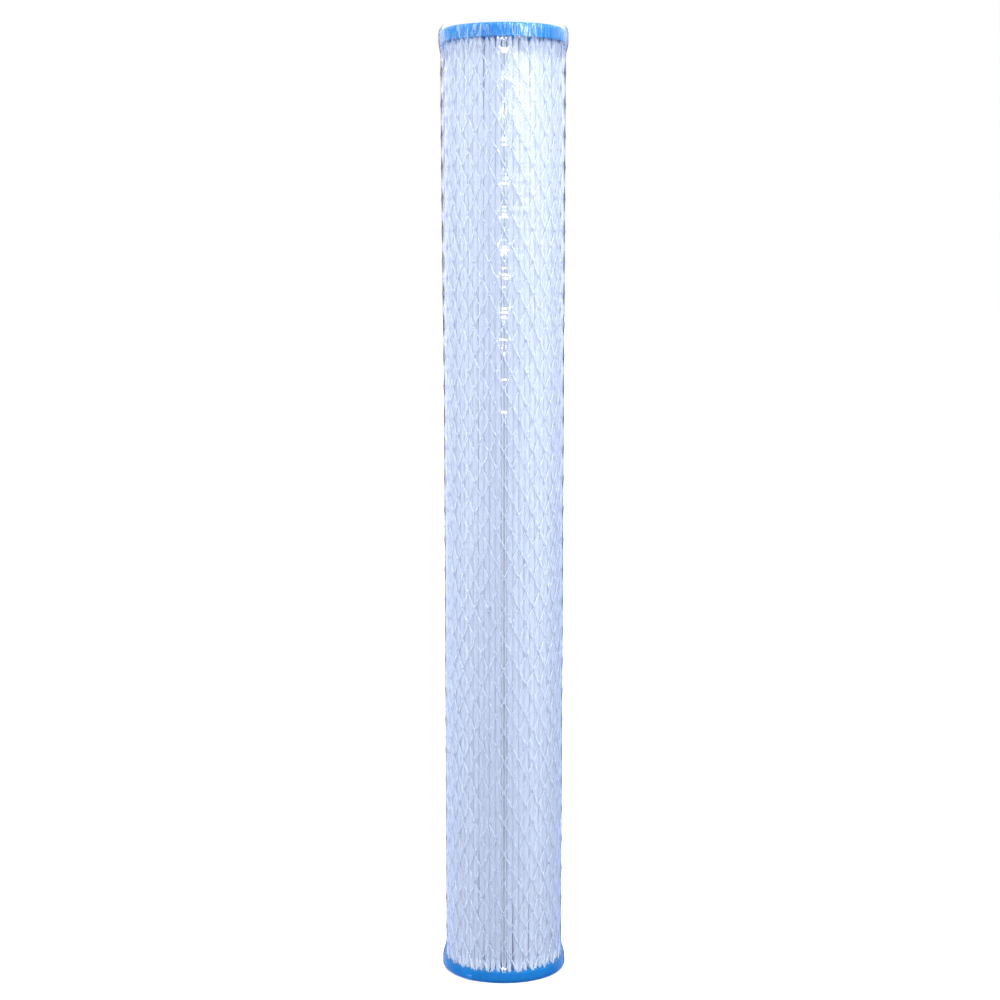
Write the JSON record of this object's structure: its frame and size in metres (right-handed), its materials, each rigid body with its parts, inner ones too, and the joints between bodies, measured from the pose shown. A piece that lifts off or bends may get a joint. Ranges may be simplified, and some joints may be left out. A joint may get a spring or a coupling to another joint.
{
  "type": "pleated filter cartridge",
  "caption": "Slim pleated water filter cartridge, open at both ends, with blue cast end caps, a perforated core, a netting sleeve over the pleats and clear shrink film",
  "frame": {"origin": "centre of the bottom end face, on the cartridge's axis", "axes": "+Z along the cartridge to its top end; +X and +Y across it; the fabric's lap seam faces -Y"},
  "size_m": [0.0676, 0.0676, 0.508],
  "materials": {
    "end_cap_polyurethane": "cast polyurethane, satin",
    "core_polypropylene": "injection moulded, satin",
    "pleated_fabric": "spunbonded non-woven polyester",
    "seam_hot_melt": "hot melt adhesive",
    "netting_plastic": "extruded netting",
    "clear_film": "clear shrink film"
  },
  "bodies": {
    "root": {"bottom_end_cap": "end_cap_polyurethane", "top_end_cap": "end_cap_polyurethane", "core_section_1": "core_polypropylene", "core_section_2": "core_polypropylene", "core_section_3": "core_polypropylene", "core_section_4": "core_polypropylene", "pleated_media": "pleated_fabric", "media_seam_strip": "seam_hot_melt", "netting_sleeve": "netting_plastic", "shrink_film": "clear_film"}
  },
  "joints": []
}
